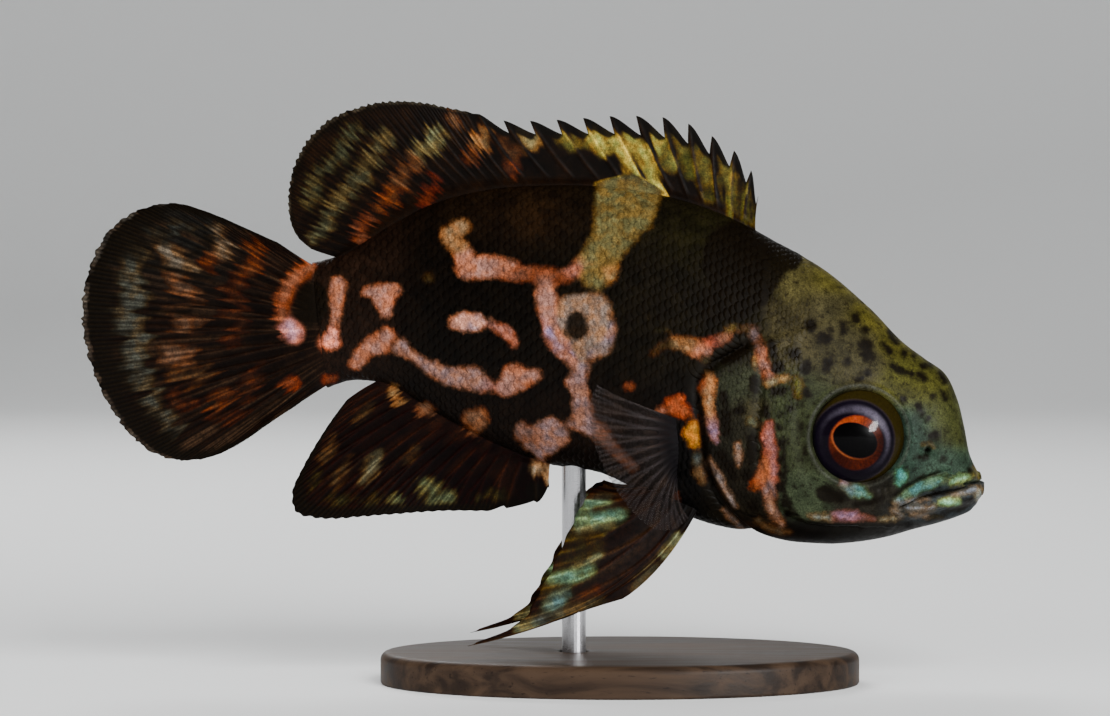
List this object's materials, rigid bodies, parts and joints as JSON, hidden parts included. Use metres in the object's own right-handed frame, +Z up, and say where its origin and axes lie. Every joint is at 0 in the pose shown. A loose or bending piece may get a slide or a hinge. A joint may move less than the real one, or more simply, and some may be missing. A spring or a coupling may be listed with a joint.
{
  "type": "oscar fish display model",
  "caption": "Life-size still model of a young marbled oscar cichlid swimming with its fins spread, held by a rod over a small oval stand.",
  "frame": {"origin": "centre of the underside of the stand's oval base, on the table", "axes": "+X forward towards the fish's snout, +Z up, -Y towards the fish's right side, the side seen in the picture"},
  "size_m": [0.0907, 0.0382, 0.0584],
  "materials": {
    "head": "cast and painted skin, olive and grey-green with dark spots, satin",
    "flank": "cast and painted scaly skin, near-black brown with cream and orange marbling, satin",
    "fins": "thin cast fins with raised rays, brown with cream and orange bands, satin",
    "pectoral": "thin smoky see-through fin with raised rays",
    "eye": "polished eye with dark iris and thin orange ring",
    "stand": "dark stained wood, satin",
    "rod": "brushed"
  },
  "bodies": {
    "root": {"head": "head", "lower_jaw": "head", "gill_cover_right": "head", "gill_cover_left": "head", "torso": "flank", "tail_stalk": "flank", "eye_right": "eye", "eye_left": "eye", "dorsal_fin": "fins", "anal_fin": "fins", "tail_fin": "fins", "pelvic_fin_right": "fins", "pelvic_fin_left": "fins", "pectoral_fin_right": "pectoral", "pectoral_fin_left": "pectoral", "stand_base": "stand", "stand_rod": "rod"}
  },
  "joints": []
}
